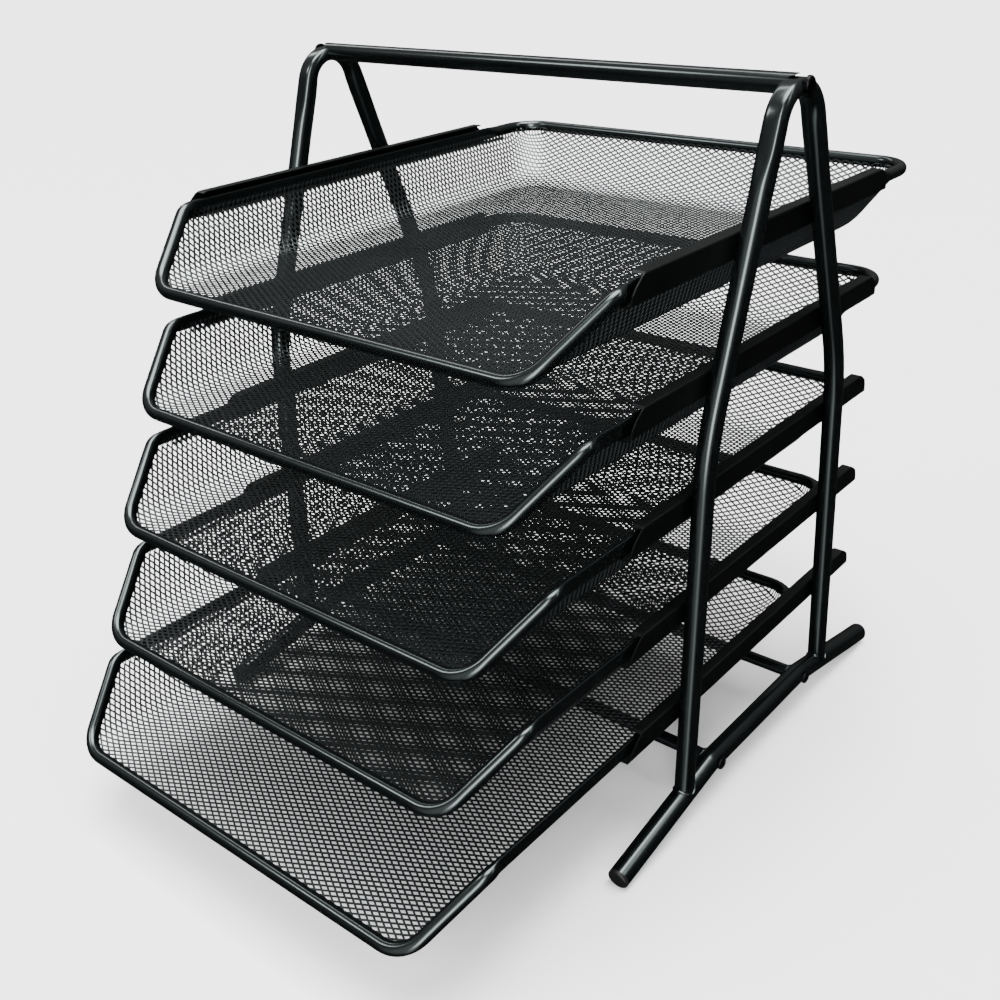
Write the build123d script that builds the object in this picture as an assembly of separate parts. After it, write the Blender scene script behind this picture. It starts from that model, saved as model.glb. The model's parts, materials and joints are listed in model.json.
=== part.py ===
from build123d import *
import os
from math import cos, hypot, radians, sin, tan

# A five-tier desktop file sorter. Two bent-tube side frames stand on two bowed foot tubes that
# two cross bars tie together, and a tube handle joins the tops. Ten sheet-metal runners hold five
# mesh trays that slide out forwards, the lower ones drawn further out than the upper ones.
# Millimetres; X is the width, -Y the front, +Z up. The origin is on the desk, under the middle
# of the outside box, and the side frames stand FRAME_Y behind it.

# Driving dimensions: trays
TIERS = 5
TIER_PITCH = 62.0
TRAY_LENGTH = 345.5        # front wire to back wire, centre to centre
RAIL_X = 149.6             # half the distance between the two side rails
FRONT_X = 129.0            # half the sharp-cornered length of the low front wire
FRONT_DROP = 32.0          # how far the front wire lies below the rails
SLOPE_RUN = 40.4           # how far back the sloping ends reach
RIM_D = 7.2
RAIL_THICK, RAIL_TALL = 2.7, 8.2   # the same tube pressed flat where it runs in the runners
CLOSED_FRONT = 170.5       # front wire ahead of the side frames with a tray pushed home
PULLED = [0.0, 23.0, 50.0, 73.5, 106.0]   # how far each tray stands out, top to bottom

# Driving dimensions: mesh pans
PAN_DEPTH = 33.0
PAN_SHEET = 0.6
SIDE_LEAN = 20.0           # how far the side walls lean in between rail and floor
BACK_LEAN = 26.0
FOLD_RUN = 12.0            # the rounded fold starts this far from the sharp corner

# Driving dimensions: runners
RUNNER_LENGTH = 258.0
RUNNER_TALL = 12.8
RUNNER_DEEP = 6.9
RUNNER_SHEET = 0.8
RUNNER_OUTER_X = 154.4
LOWEST_RUNNER_Z = 70.0     # underside of the lowest pair
RAIL_PLAY = 0.35           # rail above the runner's lower flange

# Driving dimensions: side frames, feet, cross bars and handle
LEG_D, LEG_WALL = 11.5, 1.0
LEG_BEND = (69.97, 231.1)  # where the two straight stretches of a leg would meet: (out, up)
LEG_FOOT_OUT = 81.6
LEG_APEX_Z = 429.9         # where the two upper stretches would meet
BEND_R, ARCH_R = 160.0, 19.7
FOOT_D, FOOT_WALL = 12.7, 1.0
FOOT_HALF = 146.0          # from the middle of the frame to the open end of a foot tube
FOOT_TILT = 11.6           # degrees; the outer stretches of a foot tube slope down to the desk
KINK_OUT, KINK_R = 54.0, 14.0
PLUG_CAP, PLUG_ROUND, PLUG_STEM = 2.3, 1.4, 10.0
CROSS_D, CROSS_WALL, CROSS_OUT = 8.0, 1.0, 52.0
HANDLE_D, HANDLE_WALL, HANDLE_UP = 10.0, 1.0, 1.5   # the handle sits a little above the arch's axis
INSERT_LENGTH = 14.0

# Worked out from the dimensions above
FRAME_Y = (CLOSED_FRONT + PULLED[-1] - (TRAY_LENGTH - CLOSED_FRONT)) / 2
LEG_X = RUNNER_OUTER_X + LEG_D / 2
LEG_SLOPE = LEG_BEND[0] / (LEG_APEX_Z - LEG_BEND[1])
ARCH_TOP = LEG_APEX_Z - ARCH_R * (hypot(1, LEG_SLOPE) / LEG_SLOPE - 1)
HANDLE_Z = ARCH_TOP + HANDLE_UP
TILT = radians(FOOT_TILT)
TIP_Z = (PLUG_CAP - PLUG_ROUND) * sin(TILT) + (FOOT_D / 2 - PLUG_ROUND) * cos(TILT) + PLUG_ROUND
KINK_Z = TIP_Z + (FOOT_HALF - KINK_OUT) * tan(TILT)
RAIL_UP = RUNNER_SHEET + RAIL_PLAY + RAIL_TALL / 2

SIDES = {"left": -1, "right": 1}
ENDS = {"front": -1, "rear": 1}


def runner_z(tier):
    """Height of the underside of one tier's runners; tier 1 is the top."""
    return LOWEST_RUNNER_Z + (TIERS - tier) * TIER_PITCH


def swept_rod(points, radii, diameter):
    """A round rod along straight runs joined by tangent arcs."""
    path = FilletPolyline(*points, radius=radii)
    start = Plane(origin=path @ 0, z_dir=path % 0)
    return sweep(start * Circle(diameter / 2), path=path)


def rod_x(diameter, x_from, x_to, y, z):
    """A round rod parallel to X."""
    middle = Pos((x_from + x_to) / 2, y, z) * Rot(0, 90, 0)
    return middle * Cylinder(diameter / 2, abs(x_to - x_from))


def mirrored(points):
    """A path from its middle point out to one side, completed on the other side of the frame."""
    return [(x, 2 * FRAME_Y - y, z) for x, y, z in reversed(points)] + points


# ---------------------------------------------------------------- side frames and feet
def foot_axis_z(out):
    """Height of a foot tube's axis at a distance out from the middle of the frame."""
    return KINK_Z - max(0.0, out - KINK_OUT) * tan(TILT)


def foot_rod(x, diameter):
    half = [(x, FRAME_Y + KINK_OUT, KINK_Z), (x, FRAME_Y + FOOT_HALF, TIP_Z)]
    return swept_rod(mirrored(half), [KINK_R, KINK_R], diameter)


def foot_tube(side):
    x = side * LEG_X
    tube = foot_rod(x, FOOT_D) - foot_rod(x, FOOT_D - 2 * FOOT_WALL)
    for end in ENDS.values():
        tube -= rod_x(4.4, x - side * 8, x + side * 8, FRAME_Y + end * CROSS_OUT, KINK_Z)
    return tube


def end_plug(side, end):
    """A plastic plug: a stem inside the foot tube and a rounded cap over its open end."""
    stem = Pos(0, 0, -PLUG_STEM / 2) * Cylinder(FOOT_D / 2 - FOOT_WALL, PLUG_STEM)
    cap = Pos(0, 0, PLUG_CAP / 2) * Cylinder(FOOT_D / 2, PLUG_CAP)
    cap = fillet(cap.edges().sort_by(Axis.Z)[-1], PLUG_ROUND)
    tip = Plane(origin=(side * LEG_X, FRAME_Y + end * FOOT_HALF, TIP_Z),
                x_dir=(1, 0, 0), z_dir=(0, end * cos(TILT), -sin(TILT)))
    return tip * (stem + cap)


def leg_rod(x, diameter):
    half = [(x, FRAME_Y + LEG_BEND[0], LEG_BEND[1]),
            (x, FRAME_Y + LEG_FOOT_OUT, foot_axis_z(LEG_FOOT_OUT))]
    points = [half[1], half[0], (x, FRAME_Y, LEG_APEX_Z)]
    points += [(x, 2 * FRAME_Y - y, z) for x, y, z in half]
    return swept_rod(points, [BEND_R, ARCH_R, BEND_R], diameter)


def side_frame(side):
    """One tube bent into a steep arch, its feet cut to saddle on the foot tube."""
    x = side * LEG_X
    tube = leg_rod(x, LEG_D) - leg_rod(x, LEG_D - 2 * LEG_WALL)
    tube -= foot_rod(x, FOOT_D)
    tube -= rod_x(5.4, x - 8, x + 8, FRAME_Y, HANDLE_Z)
    return tube


# ---------------------------------------------------------------- cross bars and handle
def cross_bar(end):
    y = FRAME_Y + end * CROSS_OUT
    bar = rod_x(CROSS_D, -LEG_X, LEG_X, y, KINK_Z)
    bar -= rod_x(CROSS_D - 2 * CROSS_WALL, -LEG_X, LEG_X, y, KINK_Z)
    for side in SIDES.values():
        bar -= foot_rod(side * LEG_X, FOOT_D)
    return bar


def handle():
    bar = rod_x(HANDLE_D, -LEG_X, LEG_X, FRAME_Y, HANDLE_Z)
    bar -= rod_x(HANDLE_D - 2 * HANDLE_WALL, -LEG_X, LEG_X, FRAME_Y, HANDLE_Z)
    for side in SIDES.values():
        bar -= leg_rod(side * LEG_X, LEG_D)
    return bar


def insert(side, bore, outer, tube_d, y, z):
    """A threaded sleeve pressed into the end of a tube, just short of the tube it meets."""
    mouth = LEG_X - tube_d / 2 - 0.5
    sleeve = rod_x(outer, side * (mouth - INSERT_LENGTH), side * mouth, y, z)
    return sleeve - rod_x(bore, side * (mouth - INSERT_LENGTH - 1), side * (mouth + 1), y, z)


def pan_head_screw(side, shank, head_d, head_tall, tube_d, y, z):
    """A pan-head screw driven inwards through a tube into the sleeve behind it."""
    seat = LEG_X + tube_d / 2
    head = rod_x(head_d, side * seat, side * (seat + head_tall), y, z)
    rim = head.edges().filter_by(GeomType.CIRCLE).sort_by(Axis.X)
    head = fillet(rim[-1] if side > 0 else rim[0], head_tall * 0.6)
    driver = rod_x(head_d * 0.32, side * (seat + head_tall * 0.45), side * (seat + head_tall + 1), y, z)
    reach = LEG_X - tube_d / 2 - 0.7 * INSERT_LENGTH
    return head - driver + rod_x(shank, side * reach, side * (seat + 0.2), y, z)


# ---------------------------------------------------------------- runners
def runner(side, tier):
    """A C of folded sheet, open towards the tray, its web cut back in a curve at the front."""
    web = Rectangle(RUNNER_DEEP, RUNNER_TALL)
    web = fillet(web.vertices().sort_by(Axis.X)[-2:], 1.2)
    hollow = Pos(-RUNNER_SHEET, 0) * Rectangle(RUNNER_DEEP, RUNNER_TALL - 2 * RUNNER_SHEET)
    profile = Plane.XZ * (web - hollow)
    bar = extrude(profile, RUNNER_LENGTH / 2, both=True)
    front, top, low = -RUNNER_LENGTH / 2, RUNNER_TALL / 2, -RUNNER_TALL / 2
    nose = Polygon((front - 1, low + 1), (front + 3, low + 1), (front + 4, low + 4.5),
                   (front + 7, low + 8), (front + 11.5, top - 1.2), (front + 14.5, top + 0.1),
                   (front - 1, top + 0.1), align=None)
    bar -= extrude(Plane.YZ * nose, 20, both=True)
    tail = Polygon((-front + 1, top + 0.1), (-front - 7, top + 0.1), (-front - 5, top - 1.2),
                   (-front - 1.4, top - 4), (-front, top - 8), (-front + 1, top - 8), align=None)
    bar -= extrude(Plane.YZ * tail, 20, both=True)
    if side < 0:
        bar = mirror(bar, Plane.YZ)
    x = side * (RUNNER_OUTER_X - RUNNER_DEEP / 2)
    return Pos(x, FRAME_Y, runner_z(tier) + RUNNER_TALL / 2) * bar


# ---------------------------------------------------------------- trays
# A tray is drawn with its front wire over y = 0 and the middle of its rails at z = 0.
SWAGE_FRONT = (SLOPE_RUN + 4.0, SLOPE_RUN + 13.0)
SWAGE_BACK = (TRAY_LENGTH - 46.0, TRAY_LENGTH - 34.0)
SLOPE_R, FRONT_R, BACK_R = 9.0, 20.0, 20.0


def rim_section(y, flat):
    """The rim's section across Y: an upright flattened oval in the runners, else round."""
    plane = Plane(origin=(RAIL_X, y, 0), x_dir=(1, 0, 0), z_dir=(0, 1, 0))
    if flat:
        return plane * Ellipse(RAIL_THICK / 2, RAIL_TALL / 2)
    return plane * Circle(RIM_D / 2)


def rail():
    """The right rail: pressed flat between two short tapers back to round tube."""
    front = loft([rim_section(SWAGE_FRONT[0], False), rim_section(SWAGE_FRONT[1], True)])
    middle = extrude(rim_section(SWAGE_FRONT[1], True), SWAGE_BACK[0] - SWAGE_FRONT[1])
    back = loft([rim_section(SWAGE_BACK[0], True), rim_section(SWAGE_BACK[1], False)])
    return front + middle + back


def tray_rim():
    """One closed ring of tube: low front wire, sloping ends, flat rails and back wire."""
    half = [(FRONT_X, 0, -FRONT_DROP), (RAIL_X, SLOPE_RUN, 0), (RAIL_X, SWAGE_FRONT[0], 0)]
    front = [(-x, y, z) for x, y, z in reversed(half)] + half
    back = [(-RAIL_X, SWAGE_BACK[1], 0), (-RAIL_X, TRAY_LENGTH, 0),
            (RAIL_X, TRAY_LENGTH, 0), (RAIL_X, SWAGE_BACK[1], 0)]
    ring = swept_rod(front, [SLOPE_R, FRONT_R, FRONT_R, SLOPE_R], RIM_D)
    ring += swept_rod(back, [BACK_R, BACK_R], RIM_D)
    right = rail()
    return ring + right + mirror(right, Plane.YZ)


def pan_sections():
    """Half width, back edge, corner radius and height of the pan, from the floor up."""
    wall = hypot(SIDE_LEAN, PAN_DEPTH)
    rise = FOLD_RUN * PAN_DEPTH / wall
    share = 1 - rise / PAN_DEPTH
    floor_x, floor_y = RAIL_X - SIDE_LEAN, TRAY_LENGTH - BACK_LEAN
    return [(floor_x - FOLD_RUN, floor_y - FOLD_RUN, 14.0, -PAN_DEPTH),
            (floor_x - 1.6, floor_y - 1.6, 20.0, -PAN_DEPTH + 2.7),
            (RAIL_X - SIDE_LEAN * share, TRAY_LENGTH - BACK_LEAN * share, 21.0, -PAN_DEPTH + rise),
            (RAIL_X, TRAY_LENGTH, 20.0, 0.0)]


def pan_block(inset, lift):
    """The pan's outer shape as a solid block, drawn in by inset and raised by lift."""
    ahead = -70.0
    outlines = []
    for half_x, back_y, corner, z in pan_sections():
        centre = Pos(0, (back_y - inset + ahead) / 2, z + lift)
        width, length = 2 * (half_x - inset), back_y - inset - ahead
        outlines.append(centre * RectangleRounded(width, length, corner))
    return loft(outlines, ruled=True)


def tray_pan(rim):
    """The mesh pan as plain sheet: floor and leaning walls, cut off where they meet the rim."""
    lid = Pos(0, TRAY_LENGTH / 2, 10) * Box(400, 600, 20)
    shell = pan_block(0.0, 0.0) - pan_block(0.45, PAN_SHEET) - lid
    slope = FRONT_DROP / SLOPE_RUN
    ahead = Polygon((-100, -60), (-28 / slope, -60), (0, -FRONT_DROP), (SLOPE_RUN, 0),
                    (SLOPE_RUN + 20 / slope, 20), (-100, 20), align=None)
    return shell - extrude(Plane.YZ * ahead, 200, both=True) - rim


def tray_place(tier):
    front = FRAME_Y - CLOSED_FRONT - PULLED[tier - 1]
    return Pos(0, front, runner_z(tier) + RAIL_UP)


# ---------------------------------------------------------------- every sub-part
def build():
    """Every sub-part by node name."""
    nodes = {}
    rim = tray_rim()
    pan = tray_pan(rim)
    for tier in range(1, TIERS + 1):
        nodes[f"tray_{tier}_rim"] = tray_place(tier) * rim
        nodes[f"tray_{tier}_mesh"] = tray_place(tier) * pan
        for name, side in SIDES.items():
            nodes[f"runner_{tier}_{name}"] = runner(side, tier)
    for name, side in SIDES.items():
        nodes[f"side_frame_{name}"] = side_frame(side)
        nodes[f"foot_tube_{name}"] = foot_tube(side)
        for end_name, end in ENDS.items():
            nodes[f"end_plug_{end_name}_{name}"] = end_plug(side, end)
    for end_name, end in ENDS.items():
        nodes[f"cross_bar_{end_name}"] = cross_bar(end)
    nodes["handle"] = handle()
    corners = [(side, FRAME_Y + end * CROSS_OUT) for side in SIDES.values() for end in ENDS.values()]
    nodes["cross_bar_inserts"] = Compound(children=[
        insert(side, 4.0, CROSS_D - 2 * CROSS_WALL, FOOT_D, y, KINK_Z) for side, y in corners])
    nodes["cross_bar_screws"] = Compound(children=[
        pan_head_screw(side, 4.0, 7.6, 1.8, FOOT_D, y, KINK_Z) for side, y in corners])
    nodes["handle_inserts"] = Compound(children=[
        insert(side, 5.0, HANDLE_D - 2 * HANDLE_WALL, LEG_D, FRAME_Y, HANDLE_Z)
        for side in SIDES.values()])
    nodes["handle_screws"] = Compound(children=[
        pan_head_screw(side, 5.0, 8.6, 2.4, LEG_D, FRAME_Y, HANDLE_Z) for side in SIDES.values()])
    return nodes


os.makedirs("parts", exist_ok=True)
for node, shape in build().items():
    export_step(shape, f"parts/{node}.step")
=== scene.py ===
# %% [markdown]
# # A five-tier mesh file sorter
#
# The real sorter is made of three kinds of metal stock: thin steel tube, folded sheet and
# expanded mesh, all sprayed with the same black powder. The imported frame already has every
# piece at its true size. This lesson dresses it: the mesh trays become real diamond mesh, the
# tray rims get the flattened rails that a press leaves, and the bent side frames get the slight
# collapse that every bent tube shows on the outside of its bend.
#
# All shapes are worked out in millimetres as whole numpy arrays and only turned into metres
# when a mesh is made.

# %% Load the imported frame
import json
from math import cos, pi, radians, sin, tan

import bmesh
import bpy
import numpy as np
from mathutils import Matrix, Vector

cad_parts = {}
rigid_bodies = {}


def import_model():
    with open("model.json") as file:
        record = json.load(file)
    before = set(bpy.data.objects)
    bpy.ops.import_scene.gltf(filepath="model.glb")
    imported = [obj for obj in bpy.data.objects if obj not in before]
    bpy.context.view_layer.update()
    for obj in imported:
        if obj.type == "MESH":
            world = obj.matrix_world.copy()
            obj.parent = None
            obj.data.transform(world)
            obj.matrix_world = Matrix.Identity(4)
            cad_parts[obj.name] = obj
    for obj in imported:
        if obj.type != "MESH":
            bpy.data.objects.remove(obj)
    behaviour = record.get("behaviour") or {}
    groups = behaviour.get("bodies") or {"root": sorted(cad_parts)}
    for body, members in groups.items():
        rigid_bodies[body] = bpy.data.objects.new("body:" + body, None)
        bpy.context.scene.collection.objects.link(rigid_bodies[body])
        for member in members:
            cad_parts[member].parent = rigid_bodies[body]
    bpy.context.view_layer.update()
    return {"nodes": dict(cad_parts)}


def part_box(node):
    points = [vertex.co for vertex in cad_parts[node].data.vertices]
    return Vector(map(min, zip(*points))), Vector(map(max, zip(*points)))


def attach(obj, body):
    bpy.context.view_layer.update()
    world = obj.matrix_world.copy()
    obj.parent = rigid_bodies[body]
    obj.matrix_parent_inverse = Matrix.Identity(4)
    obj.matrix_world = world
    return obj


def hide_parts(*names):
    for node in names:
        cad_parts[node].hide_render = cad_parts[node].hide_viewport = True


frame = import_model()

MM = 0.001
TIERS = range(1, 6)
SIDES = {"left": -1, "right": 1}

# %% [markdown]
# ## The camera
#
# A camera is a point and three directions. The sight line is a heading, swung round from +Y,
# and a tilt below the horizon. "Right" is level, "up" stands square to both, and a small roll
# then turns the pair about the sight line. Writing the directions as the columns of a matrix is
# safer than stacking rotations, because each column can be checked by eye.

# %% Place the camera
EYE, MIDDLE = Vector((0.4280, -0.4708, 0.4741)), Vector((0, 0, 0.2))
HEADING, DROP, ROLL = radians(39.152), radians(29.297), radians(-2.149)


def aim_camera():
    """Columns: right turned by the roll, up turned by the roll, and the sight line backwards."""
    sight = Vector((-sin(HEADING) * cos(DROP), cos(HEADING) * cos(DROP), -sin(DROP)))
    level = Vector((cos(HEADING), sin(HEADING), 0))
    upright = level.cross(sight)
    right = cos(ROLL) * level + sin(ROLL) * upright
    up = cos(ROLL) * upright - sin(ROLL) * level
    camera = bpy.data.objects.new("camera", bpy.data.cameras.new("camera"))
    camera.matrix_world = Matrix((right, up, -sight)).transposed().to_4x4()
    camera.matrix_world.translation = EYE
    camera.data.sensor_width = 36
    camera.data.lens = 41.88
    camera.data.shift_x, camera.data.shift_y = -0.05235, 0.04276
    camera.data.clip_start = 0.01
    bpy.context.collection.objects.link(camera)
    bpy.context.scene.camera = camera
    return camera


camera = aim_camera()
print("camera stands", round((EYE - MIDDLE).length, 3), "m from the middle of the sorter")

# %% [markdown]
# ## Small tools for arrays
#
# Nearly every piece here is one of two things: a profile carried along a path, which makes a
# tube, or a flat pattern laid over a shaped sheet, which makes the mesh. Three helpers serve
# both: one turns arrays into a Blender mesh, one walks round corners, and one skins a path.

# %% Arrays into a piece
def quads_outward(points, quads):
    """Signed volume is the sum of corner . (corner x corner) over the faces; if it is negative
    the faces look inwards and are turned over."""
    a, b, c, d = (points[quads[:, k]] for k in range(4))
    volume = np.einsum("ij,ij->", a, np.cross(b, c)) + np.einsum("ij,ij->", a, np.cross(c, d))
    return quads if volume > 0 else quads[:, ::-1]


def make_piece(name, points, quads, finish, body, smooth=True, stands_for=()):
    """Put millimetre points and four-cornered faces into a new mesh in metres, on a body."""
    mesh = bpy.data.meshes.new(name)
    mesh.vertices.add(len(points))
    mesh.vertices.foreach_set("co", (points * MM).astype(np.float32).ravel())
    mesh.loops.add(quads.size)
    mesh.loops.foreach_set("vertex_index", quads.astype(np.int32).ravel())
    mesh.polygons.add(len(quads))
    mesh.polygons.foreach_set("loop_start", np.arange(0, quads.size, 4, dtype=np.int32))
    mesh.polygons.foreach_set("use_smooth", np.full(len(quads), smooth))
    mesh.update(calc_edges=True)
    mesh.validate()
    piece = bpy.data.objects.new(name, mesh)
    bpy.context.collection.objects.link(piece)
    mesh.materials.append(finish)
    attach(piece, body)
    if stands_for:
        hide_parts(*stands_for)
    return piece


print("make_piece divides millimetres by", round(1 / MM))

# %% [markdown]
# A tube that isn't a closed ring needs its two ends filled, or light leaks in and its shell has no
# inside. Finding the boundary edges and filling each ring of them works for any open tube.

# %% Closing a tube
def close_ends(piece):
    """Fill each open ring of edges with one flat face."""
    mesh = bmesh.new()
    mesh.from_mesh(piece.data)
    rim = [edge for edge in mesh.edges if edge.is_boundary]
    filled = bmesh.ops.holes_fill(mesh, edges=rim)["faces"]
    bmesh.ops.recalc_face_normals(mesh, faces=mesh.faces)
    for face in filled:
        face.smooth = False
    mesh.to_mesh(piece.data)
    mesh.free()
    return len(filled)


# %% [markdown]
# A bent tube is drawn the way a tube bender is set: straight runs between corners, and a bend
# radius at each corner. The points are then spaced evenly, so that no ring of faces is much
# longer than its neighbours.

# %% Walking round corners
def unit(rows):
    """Each row divided by its own length."""
    rows = np.asarray(rows, float)
    return rows / np.linalg.norm(rows, axis=-1, keepdims=True)


def corner_arc(before, corner, after, radius, step):
    """An arc that touches both runs. It starts radius x tan(half the turn) before the corner;
    its points are start + radius x (sin a x incoming direction + (1 - cos a) x inward)."""
    incoming, outgoing = unit(corner - before), unit(after - corner)
    turn = np.arccos(np.clip(incoming @ outgoing, -1, 1))
    inward = unit(outgoing - incoming * np.cos(turn))
    start = corner - incoming * radius * np.tan(turn / 2)
    angle = np.linspace(0, turn, max(5, int(radius * turn / step) + 1))[:, None]
    return start + radius * (np.sin(angle) * incoming + (1 - np.cos(angle)) * inward)


def walk(corners, radii, step, closed=False):
    """Corners joined by straight runs and arcs, then resampled so that points lie a step apart:
    each new point is found by its distance along the line."""
    corners = np.asarray(corners, float)
    around = np.vstack([corners[-1:], corners, corners[:1]]) if closed else corners
    parts = [corner_arc(around[k], around[k + 1], around[k + 2], radius, step)
             for k, radius in enumerate(radii)]
    if not closed:
        parts = [corners[:1]] + parts + [corners[-1:]]
    line = np.vstack(parts + ([parts[0][:1]] if closed else []))
    along = np.concatenate([[0], np.cumsum(np.linalg.norm(np.diff(line, axis=0), axis=1))])
    count = int(along[-1] / step)
    where = np.linspace(0, along[-1], count + (0 if closed else 1), endpoint=not closed)
    return np.stack([np.interp(where, along, line[:, k]) for k in range(3)], axis=1)


square = walk([(0, 0, 0), (50, 0, 0), (50, 50, 0), (0, 50, 0)], [20] * 4, 2.5, closed=True)
print("a 50 mm square with 20 mm bends is a ring of", len(square), "points")

# %% Skinning a path
def directions(line, closed=False):
    """The way the path runs at each point, from its neighbours on both sides."""
    if closed:
        return unit(np.roll(line, -1, axis=0) - np.roll(line, 1, axis=0))
    return unit(np.gradient(line, axis=0))


def skin(line, across, upward, profile, closed=False):
    """Carry a profile along a path: point = path + profile x times across + profile y times
    upward. The profile is (path points, points round the section, 2)."""
    points = (line[:, None] + profile[..., :1] * across[:, None]
              + profile[..., 1:] * upward[:, None])
    rings, round_ = profile.shape[:2]
    i = np.arange(rings if closed else rings - 1)[:, None]
    j = np.arange(round_)[None]
    here, there = i * round_, (i + 1) % rings * round_
    quads = np.stack([here + j, here + (j + 1) % round_, there + (j + 1) % round_, there + j], -1)
    points = points.reshape(-1, 3)
    return points, quads_outward(points, quads.reshape(-1, 4))


lengths = np.linalg.norm(directions(square, closed=True), axis=1)
print("its headings are all", round(float(lengths.min()), 3), "to", round(float(lengths.max()), 3), "long")

# %% [markdown]
# ## Powder coat
#
# Powder coat is a thick plastic skin baked on to the steel. It is nearly black, it shines like
# satin, and close up it has "orange peel": shallow waves about a millimetre across. Two noises
# are enough: a fine one lifts the surface about a hundredth of a millimetre through a Bump node,
# and a broad one makes the gloss wander a little so that long tubes don't look machined. The
# tubes shine most, the mesh less, and the folded runners are nearly matt.
#
# Shader sums are written as ordinary Python. The class below wraps one socket; adding or
# multiplying two of them adds a Math node to the material.

# %% A small language for shaders
class Signal:
    """One output socket. Sums, differences and products of signals and numbers add Math nodes."""

    def __init__(self, finish, socket):
        self.finish, self.socket = finish, socket

    def _maths(self, operation, left, right):
        return self.finish.node("ShaderNodeMath", {"operation": operation}, {0: left, 1: right})

    def __add__(self, other):
        return self._maths("ADD", self, other)

    def __sub__(self, other):
        return self._maths("SUBTRACT", self, other)

    def __rsub__(self, other):
        return self._maths("SUBTRACT", other, self)

    def __mul__(self, other):
        return self._maths("MULTIPLY", self, other)

    __radd__, __rmul__ = __add__, __mul__


class Finish:
    """A material and its nodes. node() adds any node: settings first, then values or links."""

    def __init__(self, name):
        self.material = bpy.data.materials.new(name)
        self.material.use_nodes = True
        self.tree = self.material.node_tree
        self.shader = self.tree.nodes["Principled BSDF"]
        self.place = self.node("ShaderNodeTexCoord", out="Object")

    def node(self, kind, settings=None, values=None, out=0):
        made = self.tree.nodes.new(kind)
        for name, value in (settings or {}).items():
            if name == "stops":
                for stop, (where, shade) in zip(made.color_ramp.elements, value):
                    stop.position, stop.color = where, shade
            else:
                setattr(made, name, value)
        for name, value in (values or {}).items():
            self.set(made.inputs[name], value)
        return Signal(self, made.outputs[out])

    def set(self, socket, value):
        """A signal is linked; anything else becomes the socket's own value."""
        if isinstance(value, Signal):
            self.tree.links.new(value.socket, socket)
        else:
            socket.default_value = value

    def mix(self, factor, first, second):
        """A colour that runs from the first to the second as the factor goes from 0 to 1."""
        return self.node("ShaderNodeMix", {"data_type": "RGBA"},
                         {"Factor": factor, "A": (*first, 1), "B": (*second, 1)}, out=2)

    def bump(self, height, millimetres, strength):
        """A normal that leans as if the surface rose by that many millimetres times the height."""
        return self.node("ShaderNodeBump", values={
            "Height": height, "Distance": millimetres * MM, "Strength": strength})

    def dress(self, **sockets):
        """Fill the shader's sockets by name, with _ for a space, and hand back the material."""
        for name, value in sockets.items():
            self.set(self.shader.inputs[name.replace("_", " ")], value)
        return self.material


def noise(finish, per_metre, detail=2.0):
    """Smooth noise between 0 and 1, with that many waves to the metre."""
    return finish.node("ShaderNodeTexNoise", values={
        "Vector": finish.place, "Scale": per_metre, "Detail": detail, "Roughness": 0.55})


print("shader sums ready: add, subtract and multiply")

# %% The powder-coat finishes
COOL_SHINE = (0.86, 1.0, 1.0, 1)       # reflections lose a little of their red


def powder_coat(name, dark, light, rough_from, rough_to, shine, peel, waves=750):
    """Base colour drifts between two near-blacks, roughness wanders between two values, and
    the fine noise becomes the orange peel through a Bump node."""
    finish = Finish(name)
    drift = noise(finish, 22, 3)
    fine = noise(finish, waves, 2)
    rough = rough_from + drift * (rough_to - rough_from) + (fine - 0.5) * 0.05
    return finish.dress(Base_Color=finish.mix(drift, dark, light), Roughness=rough,
                        Normal=finish.bump(fine, peel, 1.0), Specular_IOR_Level=shine,
                        Specular_Tint=COOL_SHINE)


tube_coat = powder_coat("powder_coat_on_tube", (0.0006, 0.0009, 0.0009), (0.0014, 0.0019, 0.0019),
                        rough_from=0.15, rough_to=0.23, shine=0.50, peel=0.012)
mesh_coat = powder_coat("powder_coat_on_mesh", (0.0008, 0.0010, 0.0010), (0.0018, 0.0022, 0.0022),
                        rough_from=0.28, rough_to=0.40, shine=0.50, peel=0.010, waves=1400)
sheet_coat = powder_coat("powder_coat_on_sheet", (0.0005,) * 3, (0.0011,) * 3,
                         rough_from=0.38, rough_to=0.50, shine=0.16, peel=0.012)
print("powder coats:", tube_coat.name, mesh_coat.name, sheet_coat.name)

# %% [markdown]
# ## Plastic plugs and screws
#
# The plugs are injection-moulded and rougher than the paint on the tubes, with a fine
# spark-eroded grain. The screws are blackened steel: metal, but dark, and scuffed where a driver
# has slipped. The sleeves inside the tubes are plain turned steel with faint rings from the lathe.

# %% The small finishes
def moulded_plastic():
    """One fine grain feeds both the bump and the roughness, as on spark-eroded plastic."""
    finish = Finish("moulded_black_plastic")
    grain = noise(finish, 2600, 3)
    return finish.dress(Base_Color=finish.mix(noise(finish, 60), (0.003,) * 3, (0.006,) * 3),
                        Roughness=0.42 + grain * 0.12, Normal=finish.bump(grain, 0.02, 0.8),
                        Specular_IOR_Level=0.2)


def worked_steel(name, dark, light, rough, rings):
    """Fine noise squeezed along X reads as turning marks; scuffs are the bright end of a ramp."""
    finish = Finish(name)
    squeezed = finish.node("ShaderNodeMapping", values={
        "Vector": finish.place, "Scale": (rings, 60, 60)})
    marks = finish.node("ShaderNodeTexNoise", values={
        "Vector": squeezed, "Scale": 1.0, "Detail": 3.0})
    scuffs = finish.node("ShaderNodeValToRGB",
                         {"stops": [(0.55, (0, 0, 0, 1)), (0.72, (1, 1, 1, 1))]},
                         {"Fac": noise(finish, 900, 4)})
    return finish.dress(Base_Color=finish.mix(scuffs * 0.5, dark, light), Metallic=1.0,
                        Roughness=rough + marks * 0.15, Normal=finish.bump(marks, 0.01, 0.6))


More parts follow.
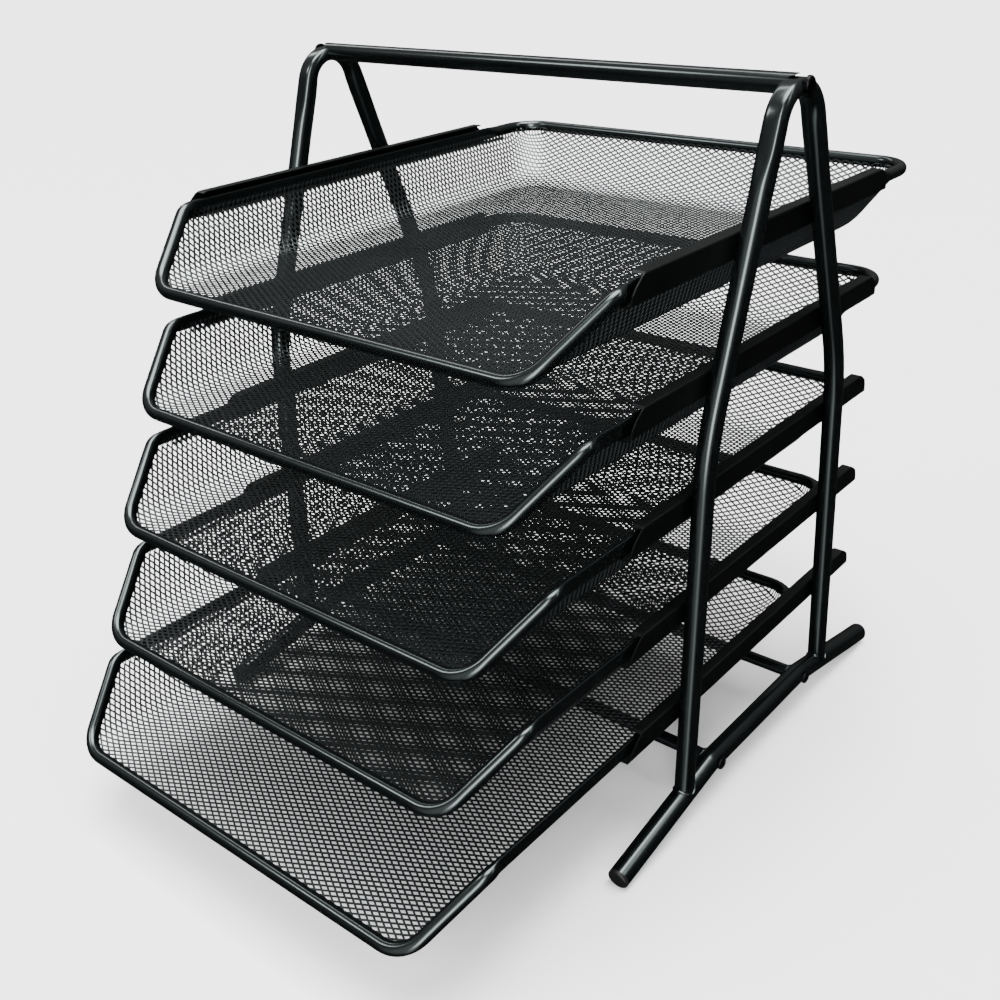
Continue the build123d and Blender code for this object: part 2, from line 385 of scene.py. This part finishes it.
plug_plastic = moulded_plastic()
black_screw = worked_steel("blackened_screw", (0.008, 0.008, 0.009), (0.04, 0.04, 0.045),
                           rough=0.28, rings=900)
turned_steel = worked_steel("turned_sleeve_steel", (0.35, 0.35, 0.36), (0.60, 0.60, 0.61),
                            rough=0.25, rings=2500)
print("small finishes:", plug_plastic.name, black_screw.name, turned_steel.name)

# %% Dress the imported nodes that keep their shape
NODE_FINISH = {"runner": sheet_coat, "foot_tube": tube_coat, "cross_bar_front": tube_coat,
               "cross_bar_rear": tube_coat, "handle": tube_coat, "end_plug": plug_plastic,
               "cross_bar_screws": black_screw, "handle_screws": black_screw,
               "cross_bar_inserts": turned_steel, "handle_inserts": turned_steel}
dressed = 0
for name, node in frame["nodes"].items():
    match = max((key for key in NODE_FINISH if name.startswith(key)), key=len, default=None)
    if match:
        for slot in node.material_slots:
            slot.material = NODE_FINISH[match]
        dressed += 1
print("packed nodes that keep their shape and get a finish:", dressed)

# %% [markdown]
# ## Tray rims
#
# Each tray hangs in one closed ring of tube. The front wire lies low so that papers can be
# pulled out, short sloping ends climb to the side rails, and a wire crosses the back. In the
# runners the same tube is pressed flat and upright, and at both ends of the press marks it
# swells back to round within about a centimetre.
#
# The ring is one path with a profile that changes on the way. A superellipse does it: at power
# 1 it is an ellipse, and with a smaller power it squares up into a flattened tube.

# %% The path of a rim
RIM = 7.2
RAIL_THICK, RAIL_TALL, SQUARED_UP = 2.7, 8.2, 0.42
RAIL_X, FRONT_X, FRONT_DROP, SLOPE_RUN, TRAY_LENGTH = 149.6, 129.0, 32.0, 40.4, 345.5
FRONT_BEND, SLOPE_BEND, BACK_BEND = 20, 9, 20
FLAT_STARTS = (SLOPE_RUN + 1, SLOPE_RUN + 8)
FLAT_ENDS = (TRAY_LENGTH - 46, TRAY_LENGTH - 34)


def rim_path(step=2.0):
    """Six corners, front wire first, each rounded with its own radius."""
    right = [(FRONT_X, 0, -FRONT_DROP), (RAIL_X, SLOPE_RUN, 0), (RAIL_X, TRAY_LENGTH, 0)]
    left = [(-x, y, z) for x, y, z in reversed(right)]
    bends = [FRONT_BEND, SLOPE_BEND, BACK_BEND]
    return walk(right + left, bends + bends[::-1], step, closed=True)


def blend(value, start, end):
    """0 before start, 1 after end, and 3t^2 - 2t^3 between."""
    t = np.clip((value - start) / (end - start), 0, 1)
    return t * t * (3 - 2 * t)


def rim_profile(line, round_=22, first_angle=0.14):
    """Width, height and squareness of the section change along the rails; the section's
    points are width x cos^power, height x sin^power, with their signs kept. The first angle
    keeps every point off the axes, where a superellipse bunches them."""
    y = line[:, 1]
    flat = blend(y, *FLAT_STARTS) * (1 - blend(y, *FLAT_ENDS))
    wide = (RIM + (RAIL_THICK - RIM) * flat) / 2
    tall = (RIM + (RAIL_TALL - RIM) * flat) / 2
    power = 1 - SQUARED_UP * flat
    angle = np.arange(round_) / round_ * 2 * pi + first_angle
    c, s = np.cos(angle)[None], np.sin(angle)[None]
    x = wide[:, None] * np.sign(c) * np.abs(c) ** power[:, None]
    z = tall[:, None] * np.sign(s) * np.abs(s) ** power[:, None]
    return np.stack([x, z], -1)


print("rim path:", len(rim_path()), "points; flat from", FLAT_STARTS[1], "to", FLAT_ENDS[0], "mm")

# %% Five rims in their places
def tray_place(tier):
    """Where a tray's own zero lies: over its front wire, at the middle height of its rails."""
    low, high = (np.array(corner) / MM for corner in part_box(f"tray_{tier}_rim"))
    return np.array([(low[0] + high[0]) / 2, low[1] + RIM / 2, high[2] - RAIL_TALL / 2])


PLACE = {tier: tray_place(tier) for tier in TIERS}
RIM_LINE = rim_path()
heading = directions(RIM_LINE, closed=True)
sideways = unit(np.cross(heading, [0, 0, 1]))
rim_points, rim_quads = skin(RIM_LINE, sideways, np.cross(sideways, heading),
                             rim_profile(RIM_LINE), closed=True)
for tier in TIERS:
    make_piece(f"tray_{tier}_ring", rim_points + PLACE[tier], rim_quads, tube_coat,
               f"tray_{tier}", stands_for=[f"tray_{tier}_rim"])
print("tray fronts at y", [round(float(place[1]), 1) for place in PLACE.values()])

# %% [markdown]
# ## Expanded mesh
#
# Expanded metal is made by slitting a sheet and pulling it open, so it is one piece with no
# wires: every diamond shares its strands with four others. The strands also tilt, because
# the slitting knife pushes one edge down. That tilt is why the same mesh looks open from one
# side and nearly closed from another.
#
# Each diamond becomes a frame of four quads above, four below and four inside its hole. The
# pattern is drawn on a flat sheet with coordinates u, across the tray, and v, along it. A
# second function bends that sheet into the pan.

# %% The shape of the pan
PAN_DEPTH, SIDE_LEAN, BACK_LEAN = 33.0, 20.0, 26.0
CORNER = 20.0
FOLD_BEFORE, FOLD_AFTER = 0.55, 0.30
EDGE = 0.875       # the mesh stops here, just inside the tube, and turns back as a hem


def wall_height():
    """Height over the plan, against t, where 0 is the sharp foot of a wall and 1 the rail. The
    foot is a Bezier fold; close under the rail the wall turns nearly upright."""
    s = np.linspace(0, 1, 40)
    t = -FOLD_BEFORE * (1 - s) ** 2 + FOLD_AFTER * s ** 2
    z = -PAN_DEPTH + PAN_DEPTH * FOLD_AFTER * s ** 2
    return (np.concatenate([[-9.0], t, [0.82, 0.85, EDGE]]),
            np.concatenate([[-PAN_DEPTH], z, [-PAN_DEPTH * 0.18, -4.6, -0.6]]))


HEIGHT_T, HEIGHT_Z = wall_height()


def outline_share(x, y):
    """How far out a plan point lies, 0 at the foot of the walls and 1 at the rails. Beside a
    straight wall it is a plain ratio; in a corner it is where a quarter circle, whose centre
    moves outwards as it rises, passes through the point: the smaller root of a quadratic."""
    foot_x, foot_y = RAIL_X - SIDE_LEAN, TRAY_LENGTH - BACK_LEAN
    straight = np.maximum((np.abs(x) - foot_x) / SIDE_LEAN, (y - foot_y) / BACK_LEAN)
    p, q = np.abs(x) - foot_x + CORNER, y - foot_y + CORNER
    a = SIDE_LEAN ** 2 + BACK_LEAN ** 2
    b = SIDE_LEAN * p + BACK_LEAN * q
    root = (b - np.sqrt(np.maximum(b * b - a * (p * p + q * q - CORNER ** 2), 0))) / a
    inside = (p > SIDE_LEAN * root) & (q > BACK_LEAN * root)
    return np.where(inside, root, straight)


def unrolled(foot, lean):
    """Distance along the sheet against distance over the plan, for one wall."""
    plan = np.concatenate([np.linspace(0, foot - lean, 50),
                           np.linspace(foot - lean, foot + EDGE * lean, 400)[1:]])
    height = np.interp((plan - foot) / lean, HEIGHT_T, HEIGHT_Z)
    along = np.concatenate([[0], np.cumsum(np.hypot(np.diff(plan), np.diff(height)))])
    return along, plan


ACROSS, ACROSS_X = unrolled(RAIL_X - SIDE_LEAN, SIDE_LEAN)
ALONG, ALONG_Y = unrolled(TRAY_LENGTH - BACK_LEAN, BACK_LEAN)
print("the flat sheet is", round(2 * ACROSS[-1], 1), "mm across,", round(ALONG[-1], 1), "mm long")

# %% [markdown]
# What is left of the sheet beyond the top of a wall is folded back down as a hem, so that no
# cut strand stands up beside the papers. It lies close to the flat inside of the rail. Three
# short rows say where it goes: for each distance past the edge, how far out and how far up,
# with a minus for inwards and down.

# %% Bending the sheet
HEM_OUT = np.array([0.0, 0.5, 1.0, 1.6, 4.5, 8.0])
HEM_X = np.array([0.0, 0.45, 0.85, 0.9, -0.05, -1.3])
HEM_Z = np.array([0.0, 0.3, 0.1, -0.5, -3.4, -6.2])


def bend(u, v):
    """From the flat sheet to the pan: u and v become plan distances, the height follows from
    the outline, and what is left beyond the top edge is folded down as a hem."""
    over_x, over_y = np.maximum(np.abs(u) - ACROSS[-1], 0), np.maximum(v - ALONG[-1], 0)
    x = np.interp(np.abs(u), ACROSS, ACROSS_X)
    y = np.where(v < 0, v, np.interp(v, ALONG, ALONG_Y))
    z = np.interp(outline_share(x, y), HEIGHT_T, HEIGHT_Z)
    x = (x + np.interp(over_x, HEM_OUT, HEM_X)) * np.sign(u)
    y = y + np.interp(over_y, HEM_OUT, HEM_X)
    z = z + np.interp(over_x, HEM_OUT, HEM_Z) + np.interp(over_y, HEM_OUT, HEM_Z)
    return np.stack([x, y, z], -1)


def bent_with_normal(u, v, lift):
    """The bent point, moved off the sheet by lift: the normal is the cross product of two
    short steps across and along."""
    h = 0.2
    centre = bend(u, v)
    side = bend(u + h, v) - bend(u - h, v)
    ahead = bend(u, v + h) - bend(u, v - h)
    return centre + unit(np.cross(side, ahead)) * lift[..., None]


print(HEM_OUT[-1], "mm past the edge the sheet lies", -HEM_Z[-1], "mm below it")

# %% Which diamonds are kept
LONG_WAY, SHORT_WAY = 6.58, 3.52
HALF_U = ACROSS[-1] / round(ACROSS[-1] / (LONG_WAY / 2))
HALF_V = ALONG[-1] / round(ALONG[-1] / (SHORT_WAY / 2))
LAST_U, LAST_V = round(ACROSS[-1] / HALF_U), round(ALONG[-1] / HALF_V)
HEM_FROM_Y, HEM_TO_Y, HEM_CORNER = 52, 316, 12      # two places in mm, and a count of columns
SLACK = 0.6


def diamond_centres():
    """Every second point of a grid of half pitches, kept if it lies inside the ring of tube:
    the step from the nearest ring point to the centre must not lead outwards by more than the
    slack. The rows past the edge are kept where they make the hem."""
    i, j = np.meshgrid(np.arange(-LAST_U - 1, LAST_U + 2), np.arange(0, LAST_V + 1), indexing="ij")
    odd = (i + j) % 2 != 0
    i, j = i[odd], j[odd]
    centre = bend(i * HALF_U, j * HALF_V)
    ring = RIM_LINE[::2]
    nearest = np.argmin(((centre[:, None] - ring[None]) ** 2).sum(-1), axis=1)
    inward = np.array([0, TRAY_LENGTH / 2, -PAN_DEPTH / 2]) - ring
    run = directions(ring, closed=True)
    inward = unit(inward - (inward * run).sum(1, keepdims=True) * run)
    inside = ((centre - ring[nearest]) * inward[nearest]).sum(1) > -SLACK
    side_hem = (np.abs(i) >= LAST_U) & (centre[:, 1] > HEM_FROM_Y) & (centre[:, 1] < HEM_TO_Y)
    back_hem = (j >= LAST_V) & (np.abs(i) < LAST_U - HEM_CORNER)
    plain = (np.abs(i) < LAST_U) & (j < LAST_V) & inside
    keep = plain | side_hem | back_hem
    return i[keep], j[keep], centre[keep, 2]


cell_i, cell_j, cell_z = diamond_centres()
print("diamonds in one tray:", len(cell_i),
      "pitch", round(2 * HALF_U, 2), "x", round(2 * HALF_V, 2), "mm")

# %% [markdown]
# Neighbouring diamonds share their corner nodes. Each node gets one number made of its two grid
# numbers, and numpy's unique finds the shared ones without a loop. An edge that only one diamond
# uses lies on the outside of the mesh, and gets a small side face so that the shell is closed.

# %% From grid points to strands
OPEN = 0.67        # hole against diamond, corner to corner
STRAND, TILT = 0.55, 0.10
SHIFT, STRIDE = 500, 4000
STEPS = np.array([(-1, 0), (0, -1), (1, 0), (0, 1)])
NEXT = [1, 2, 3, 0]


def shared_nodes(i, j):
    """The four corners of each diamond as rows of one list of nodes: key = i x stride + j."""
    corner = np.stack([i, j], -1)[:, None] + STEPS
    keys = (corner[..., 0] + SHIFT) * STRIDE + corner[..., 1] + SHIFT
    found, index = np.unique(keys, return_inverse=True)
    node_u, node_v = (found // STRIDE - SHIFT) * HALF_U, (found % STRIDE - SHIFT) * HALF_V
    return node_u, node_v, index.reshape(keys.shape)


def outer_edges(index, count):
    """Edges that only one diamond has: each edge's name is its lower node x count + its higher."""
    edge = np.stack([index, index[:, NEXT]], -1).reshape(-1, 2)
    name = np.sort(edge, axis=1) @ [count, 1]
    _, first, times = np.unique(name, return_index=True, return_counts=True)
    return edge[first[times == 1]]


def diamond_mesh(i, j):
    """Each diamond has four corner nodes, shared, and four hole corners of its own, above and
    below the sheet. The back edge of every hole is lifted and the front edge lowered."""
    node_u, node_v, index = shared_nodes(i, j)
    hole = np.stack([i, j], -1)[:, None] + STEPS * OPEN
    hole_u, hole_v = hole[..., 0] * HALF_U, hole[..., 1] * HALF_V
    lean = np.broadcast_to([0, -TILT, 0, TILT], hole_u.shape)
    half = STRAND / 2
    count, cells = len(node_u), len(i)
    points = np.vstack([
        bent_with_normal(node_u, node_v, np.full(count, half)),
        bent_with_normal(node_u, node_v, np.full(count, -half)),
        bent_with_normal(hole_u, hole_v, lean + half).reshape(-1, 3),
        bent_with_normal(hole_u, hole_v, lean - half).reshape(-1, 3)])
    own = np.arange(cells * 4).reshape(cells, 4) + 2 * count
    top = np.stack([index, index[:, NEXT], own[:, NEXT], own], -1)
    low = own + cells * 4
    bottom = np.stack([index + count, low, low[:, NEXT], index[:, NEXT] + count], -1)
    inside = np.stack([own, own[:, NEXT], low[:, NEXT], low], -1)
    rim = outer_edges(index, count)
    side = np.stack([rim[:, 0], rim[:, 0] + count, rim[:, 1] + count, rim[:, 1]], -1)
    quads = np.vstack([top.reshape(-1, 4), bottom.reshape(-1, 4), inside.reshape(-1, 4), side])
    return points, quads


on_floor = cell_z < -PAN_DEPTH + 0.01
PARTS = {"floor": diamond_mesh(cell_i[on_floor], cell_j[on_floor]),
         "walls": diamond_mesh(cell_i[~on_floor], cell_j[~on_floor])}
for tier in TIERS:
    for part, (points, quads) in PARTS.items():
        make_piece(f"tray_{tier}_{part}", points + PLACE[tier], quads, mesh_coat,
                   f"tray_{tier}", smooth=False,
                   stands_for=[f"tray_{tier}_mesh"])
print("triangles in one tray's mesh:", {part: 2 * len(quads) for part, (_, quads) in PARTS.items()})

# %% [markdown]
# ## Side frames
#
# Each side frame is one tube bent three times: two gentle bends half way up and a tight arch at
# the top. A tube that is bent over a small former can't keep its round section. Its outer wall
# stretches and sinks, so the bend looks broad and flat from outside, and right at the top the
# inner wall is squashed too. The profile here changes in the same way as it nears the arch, and
# the tube grows a little wider there.

# %% The side frames
LEG, LEG_BEND, LEG_FOOT, APEX = 11.5, (69.97, 231.1), 81.6, 429.9
BEND_R, ARCH_R = 160, 19.7
PRESS_FROM, PRESS_TO, SUNK, KEPT, SPREAD = 24, 44, 0.20, 0.10, 0.07
SQUASH, SQUASH_FROM, SQUASH_REACH = 0.36, 3, 9
FOOT, KINK_OUT, FOOT_TILT = 12.7, 54.0, radians(11.6)


def middle_of(node):
    """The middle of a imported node's box, in millimetres."""
    return (np.array(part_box(node)[0]) + np.array(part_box(node)[1])) / 2 / MM


_, FRAME_Y, HANDLE_Z = middle_of("handle")
LEG_X, _, _ = middle_of("side_frame_right")
KINK_Z = middle_of("cross_bar_front")[2]
CROSS_OUT = FRAME_Y - middle_of("cross_bar_front")[1]
ARCH_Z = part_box("side_frame_right")[1][2] / MM - LEG / 2
print("side frames at x", round(LEG_X, 2), "handle at z", round(HANDLE_Z, 2))

# %% Two bent tubes
def foot_axis(out):
    """Height of a foot tube's centre line: level to the kink, then falling with the tilt."""
    return KINK_Z - max(0.0, out - KINK_OUT) * tan(FOOT_TILT)


def leg_path(side, step=2.0):
    """Foot, gentle bend and apex in the plane of one side, then the same corners mirrored."""
    x = side * LEG_X
    half = [(x, FRAME_Y - LEG_FOOT, foot_axis(LEG_FOOT)), (x, FRAME_Y - LEG_BEND[0], LEG_BEND[1])]
    back = [(x, 2 * FRAME_Y - y, z) for x, y, z in reversed(half)]
    return walk(half + [(x, FRAME_Y, APEX)] + back, [BEND_R, ARCH_R, BEND_R], step)


def leg_profile(line, round_=36):
    """A circle that is pressed where the arch bends. Its outer side meets a ceiling, which leaves
    one long flat; close to the top its inner side is squashed towards the middle as well."""
    down = (ARCH_Z - line[:, 2])[:, None]
    pressed = 1 - blend(down, PRESS_FROM, PRESS_TO)
    squashed = np.exp(-(np.maximum(down - SQUASH_FROM, 0) / SQUASH_REACH) ** 2)
    angle = (np.arange(round_) / round_ * 2 * pi)[None]
    x = LEG / 2 * np.cos(angle) * (1 + SPREAD * pressed)
    out = LEG / 2 * np.sin(angle)
    ceiling = LEG / 2 * (1 - SUNK * pressed)
    pressed_out = np.where(out > ceiling, ceiling + (out - ceiling) * KEPT, out)
    return np.stack([x, np.where(out < 0, out * (1 - SQUASH * squashed), pressed_out)], -1)


for name, side in SIDES.items():
    line = leg_path(side)
    across = np.tile([float(side), 0, 0], (len(line), 1))
    outward = np.cross(directions(line), across)
    outward *= np.sign((outward * (line - [0, FRAME_Y, 150])).sum(1, keepdims=True).sum())
    points, quads = skin(line, across, outward, leg_profile(line))
    tube = make_piece(f"side_frame_tube_{name}", points, quads, tube_coat,
                      "frame", stands_for=[f"side_frame_{name}"])
    print("side frame", name, "has", len(line), "rings and", close_ends(tube), "closed ends")

# %% [markdown]
# ## Weld beads and paint collars
#
# The legs are welded to the foot tubes, and the paint flows over the bead so that the joint
# shows as a soft ripple. Where the cross bars and the handle meet the tubes there is only a
# thin fillet of paint, which is made in the same way.
#
# A bead follows the line where two tubes meet. On that line each point of the first tube is
# moved along its axis until it is exactly one radius from the axis of the second tube, which is
# a quadratic equation.

# %% Beads where tubes meet
def meeting_line(base, along, radius, through, axis, other_radius, count=64):
    """Points round the first tube: base + radius x (e1 cos a + e2 sin a) + s x along, with s so
    that the distance to the second tube's axis is its radius."""
    along, axis = unit(along), unit(axis)
    first = unit(np.cross(along, axis))
    second = np.cross(along, first)
    angle = np.linspace(0, 2 * pi, count, endpoint=False)[:, None]
    ring = base + radius * (np.cos(angle) * first + np.sin(angle) * second)
    start = ring - through
    a = start - (start @ axis)[:, None] * axis
    b = along - (along @ axis) * axis
    bb, ab, aa = b @ b, a @ b, (a * a).sum(1)
    s = (-ab + np.sqrt(np.maximum(ab ** 2 - bb * (aa - other_radius ** 2), 0))) / bb
    return ring + s[:, None] * along


def bead(name, line, thickness, ripple):
    """A closed cord of paint: its radius swells and shrinks a few times round the joint."""
    run = directions(line, closed=True)
    middle = line.mean(0)
    outward = line - middle
    outward = unit(outward - (outward * run).sum(1, keepdims=True) * run)
    turn = np.arange(len(line)) / len(line) * 2 * pi
    waves = np.sin(7 * turn) + 0.6 * np.sin(11 * turn + 1)
    size = thickness * (1 + ripple * waves)[:, None]
    angle = (np.arange(10) / 10 * 2 * pi)[None]
    profile = np.stack([size * np.cos(angle), size * np.sin(angle)], -1)
    points, quads = skin(line, outward, np.cross(run, outward), profile, closed=True)
    return make_piece(name, points, quads, tube_coat, "frame")


crossing = meeting_line(np.zeros(3), [1, 0, 0], 4, np.zeros(3), [0, 1, 0], 6)
print("a 4 mm and a 6 mm tube that cross meet", crossing[:, 0].min().round(2), "to",
      crossing[:, 0].max().round(2), "mm from the middle")

# %% Lay the beads
WELD, BAR_FILLET, HANDLE_FILLET = 0.95, 0.7, 0.45
BAR_RADIUS, HANDLE_RADIUS = 4.05, 4.5
OFF, HANDLE_OFF = 0.1, 0.3       # how far outside a tube's surface the middle of a bead lies
for name, side in SIDES.items():
    for end_name, end in {"front": -1, "rear": 1}.items():
        foot_point = np.array([side * LEG_X, FRAME_Y + end * LEG_FOOT, foot_axis(LEG_FOOT)])
        knee = np.array([side * LEG_X, FRAME_Y + end * LEG_BEND[0], LEG_BEND[1]])
        run = np.array([0, end * cos(FOOT_TILT), -sin(FOOT_TILT)])
        line = meeting_line(foot_point, knee - foot_point, LEG / 2 + OFF,
                            foot_point, run, FOOT / 2 + OFF)
        bead(f"leg_weld_{end_name}_{name}", line, WELD, ripple=0.12)
        bar = np.array([side * LEG_X, FRAME_Y + end * CROSS_OUT, KINK_Z])
        line = meeting_line(bar, [-side, 0, 0], BAR_RADIUS, bar, [0, 1, 0], FOOT / 2 + OFF)
        bead(f"bar_collar_{end_name}_{name}", line, BAR_FILLET, ripple=0.05)
    top = np.array([side * LEG_X, FRAME_Y, HANDLE_Z])
    line = meeting_line(top, [-side, 0, 0], HANDLE_RADIUS, top, [0, 1, 0], LEG / 2 + HANDLE_OFF)
    bead(f"handle_collar_{name}", line, HANDLE_FILLET, ripple=0.05)
laid = [piece.name for piece in bpy.data.objects
        if "_weld_" in piece.name or "_collar_" in piece.name]
print("beads laid:", len(laid))

# %% [markdown]
# ## Floor and light
#
# Black gloss shows nothing but what it reflects, so a dark object is lit by painting what stands
# around it. The room itself is dim, which keeps the far sides black. A round skylight makes the
# pale floor bright and lays a soft shadow under the trays. One long lamp overhead draws the thin
# line along every wire, and a soft window in front with an upright lamp draws the streak down
# the legs. All of these are painted on the world, because lamps that far away fall evenly on
# every tray. The one real lamp is a small square panel, high up at the left front, which gives
# the shadow a direction.
#
# The floor is kept out of the reflections, as if black cards lay there, or it would grey every
# side that faces down.

# %% Tools for painting a sky
class Sky(Finish):
    """The world's own node tree, with the same node() as a finish."""

    def __init__(self, name):
        self.world = bpy.data.worlds.new(name)
        self.world.use_nodes = True
        self.tree = self.world.node_tree
        self.shader = self.tree.nodes["Background"]
        self.place = self.node("ShaderNodeTexCoord", out="Generated")


def glow(sky, value, low, high):
    """0 below low, 1 above high and straight between: a ramp read at value / 2 + 1 / 2."""
    return sky.node("ShaderNodeValToRGB",
                    {"stops": [(low / 2 + 0.5, (0, 0, 0, 1)), (high / 2 + 0.5, (1, 1, 1, 1))]},
                    {"Fac": value * 0.5 + 0.5})


def facing(sky, way):
    """How nearly the sky's direction points one way: their dot product."""
    return sky.node("ShaderNodeVectorMath", {"operation": "DOT_PRODUCT"},
                    {0: sky.place, 1: tuple(unit(way))}, out="Value")


def strip(sky, across, half, soft):
    """1 in a narrow band round a great circle, whose pole is across."""
    away = sky.node("ShaderNodeMath", {"operation": "ABSOLUTE"}, {0: facing(sky, across)})
    return 1 - glow(sky, away, half, half + soft)


print("a strip whose half is 0.035 spans", round(2 * 0.035 * 180 / pi, 1), "degrees of the sky")

# %% The light room
DIM, ROOM, SKYLIGHT, OVERHEAD_LAMP, WINDOW, FRONT_LAMP, PAPER = 0.03, 0.45, 21, 9, 1.2, 18, 2.6


def light_room():
    """The lights add up: each is a brightness times a mask between 0 and 1. The camera itself
    sees plain pale paper in place of the lamps."""
    sky = Sky("light_room")
    up = facing(sky, (0, 0, 1))
    room = DIM + glow(sky, up, 0.0, 0.9) * ROOM
    skylight = glow(sky, up, 0.90, 0.96) * SKYLIGHT
    overhead = strip(sky, (0, 1, -0.36), 0.035, 0.03) * glow(sky, up, 0.45, 0.6) * OVERHEAD_LAMP
    window = glow(sky, facing(sky, (0.3, -1, 0.1)), 0.62, 0.90) * WINDOW
    upright = strip(sky, (1, 0.62, 0), 0.07, 0.16) * glow(sky, facing(sky, (0.6, -1, 0)), 0.5, 0.8)
    front = upright * (0.12 + glow(sky, up, -0.35, 0.05) * 0.88) * FRONT_LAMP
    seen = sky.node("ShaderNodeLightPath", out="Is Camera Ray")
    lights = room + skylight + overhead + window + front
    sky.set(sky.shader.inputs["Color"], (1, 1, 1, 1))
    sky.set(sky.shader.inputs["Strength"], lights * (1 - seen) + seen * PAPER)
    bpy.context.scene.world = sky.world


light_room()
print("painted the sky of", bpy.context.scene.world.name)

# %% The floor and the key panel
def panel(name, place, target, size, power):
    """A square lamp that looks at a target."""
    light = bpy.data.lights.new(name, "AREA")
    light.size = size
    light.energy = power
    lamp = bpy.data.objects.new(name, light)
    lamp.location = place
    lamp.rotation_euler = (Vector(target) - Vector(place)).to_track_quat("-Z", "Y").to_euler()
    bpy.context.collection.objects.link(lamp)
    return lamp


def pale_floor(reach=40.0):
    """One square of matt paper whose paleness drifts by two parts in a hundred."""
    mesh = bpy.data.meshes.new("floor")
    corners = [(-reach, -reach, 0), (reach, -reach, 0), (reach, reach, 0), (-reach, reach, 0)]
    mesh.from_pydata(corners, [], [(0, 1, 2, 3)])
    floor = bpy.data.objects.new("floor", mesh)
    bpy.context.collection.objects.link(floor)
    paper = Finish("pale_floor")
    shade = paper.mix(noise(paper, 3), (0.86,) * 3, (0.88,) * 3)
    mesh.materials.append(paper.dress(Base_Color=shade, Roughness=0.9))
    floor.visible_glossy = False


pale_floor()
key = panel("key_panel", (-1.25, -1.15, 1.8), MIDDLE, size=0.45, power=12)
print("key panel", round((key.location - MIDDLE).length, 2), "m from the middle of the sorter")

# %% [markdown]
# ## Finish
#
# The last cell brings the place of every piece up to date.

# %% Finish
bpy.context.view_layer.update()
